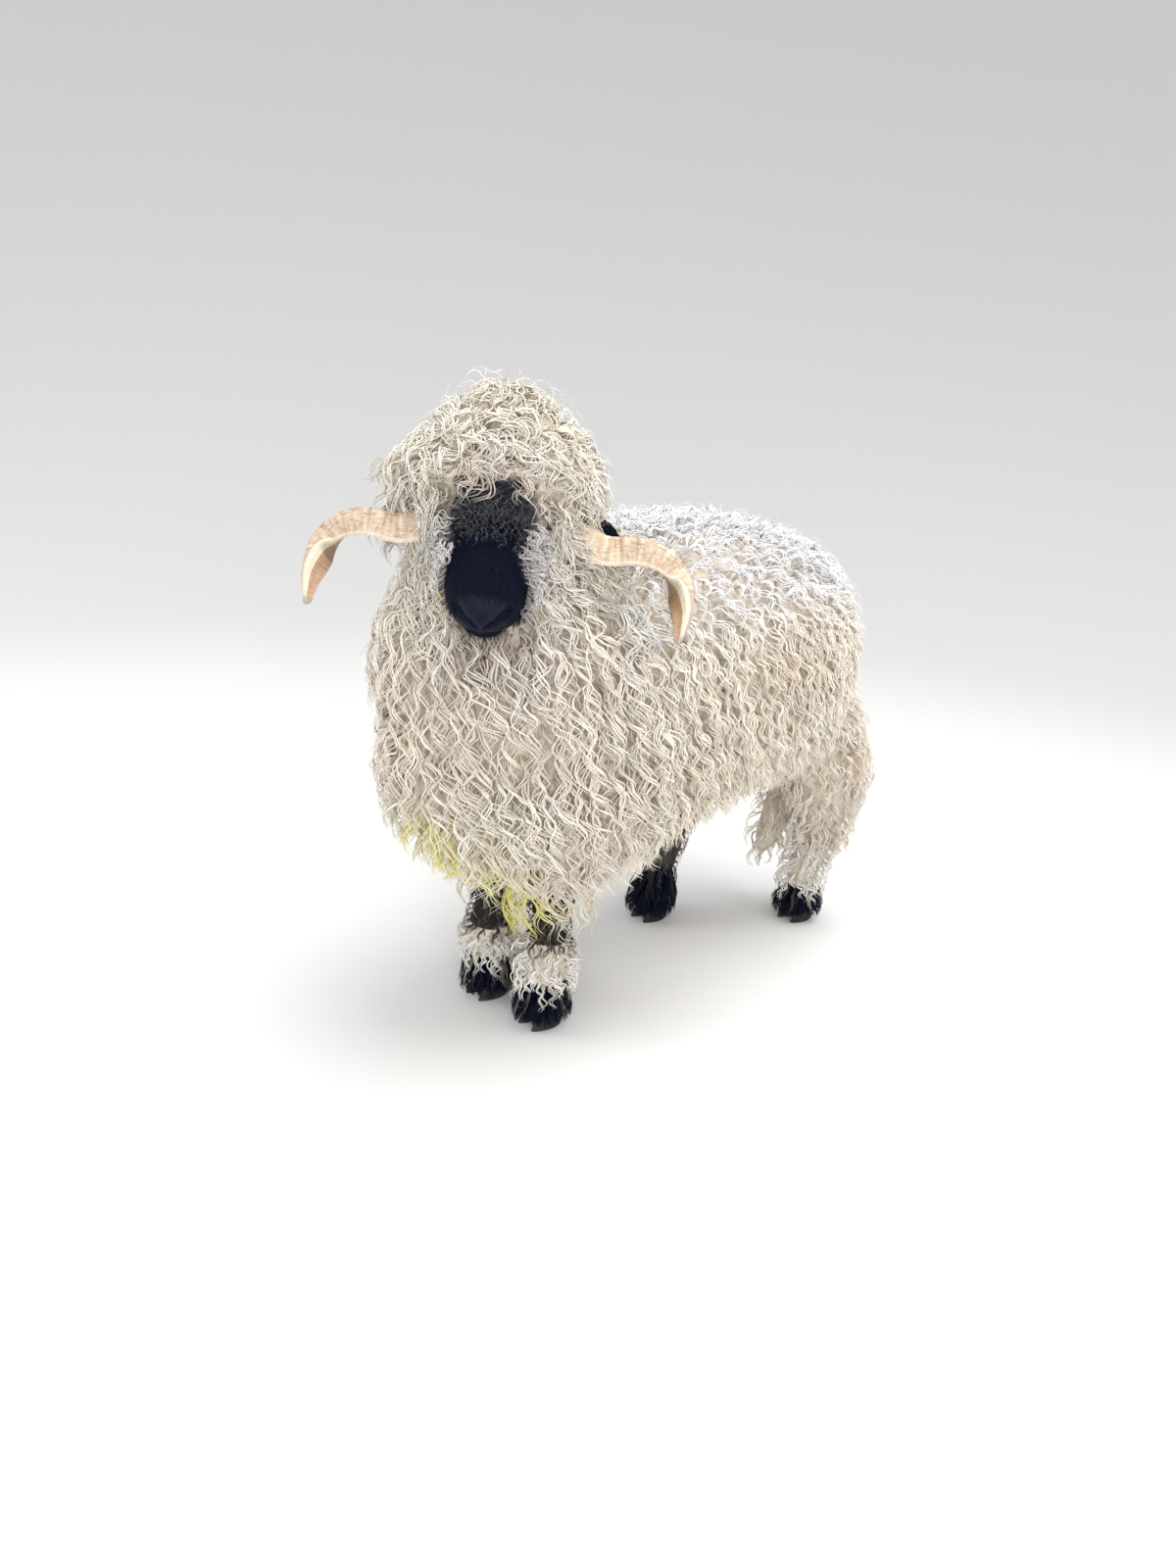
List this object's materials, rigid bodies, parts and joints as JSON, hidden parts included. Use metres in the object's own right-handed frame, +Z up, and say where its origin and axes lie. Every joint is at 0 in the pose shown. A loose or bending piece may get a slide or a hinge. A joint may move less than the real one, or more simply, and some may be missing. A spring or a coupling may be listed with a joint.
{
  "type": "valais blacknose sheep",
  "caption": "Life-size still model of a horned blacknose ram in full curly fleece, standing with its head turned to its left, black face, ears, knees and feet",
  "frame": {"origin": "on the floor, under the middle of the animal's bounding box", "axes": "+X the way the body faces, +Y the animal's left side, +Z up"},
  "size_m": [1.2318, 0.5754, 1.0392],
  "materials": {
    "wool": "matt cream wool in long wavy locks, whiter and shorter on the back, beige in the shade",
    "black_hair": "short dense black hair with a bluish sheen, moist and glossier on the nose",
    "horn": "satin ridged horn, straw to brown, with growth rings and streaks along it",
    "hoof": "satin near-black hoof horn",
    "eye": "glossy moist eye, amber-brown iris with a level dark pupil"
  },
  "bodies": {
    "root": {"torso": "wool", "neck": "wool", "head": "wool", "face": "black_hair", "eye_left": "eye", "eye_right": "eye", "ear_left": "black_hair", "ear_right": "black_hair", "horn_left": "horn", "horn_right": "horn", "tail": "wool", "front_left_leg": "wool", "front_left_foot": "black_hair", "front_left_claw_left": "hoof", "front_left_claw_right": "hoof", "front_right_leg": "wool", "front_right_foot": "black_hair", "front_right_claw_left": "hoof", "front_right_claw_right": "hoof", "hind_left_leg": "wool", "hind_left_foot": "black_hair", "hind_left_claw_left": "hoof", "hind_left_claw_right": "hoof", "hind_right_leg": "wool", "hind_right_foot": "black_hair", "hind_right_claw_left": "hoof", "hind_right_claw_right": "hoof"}
  },
  "joints": []
}
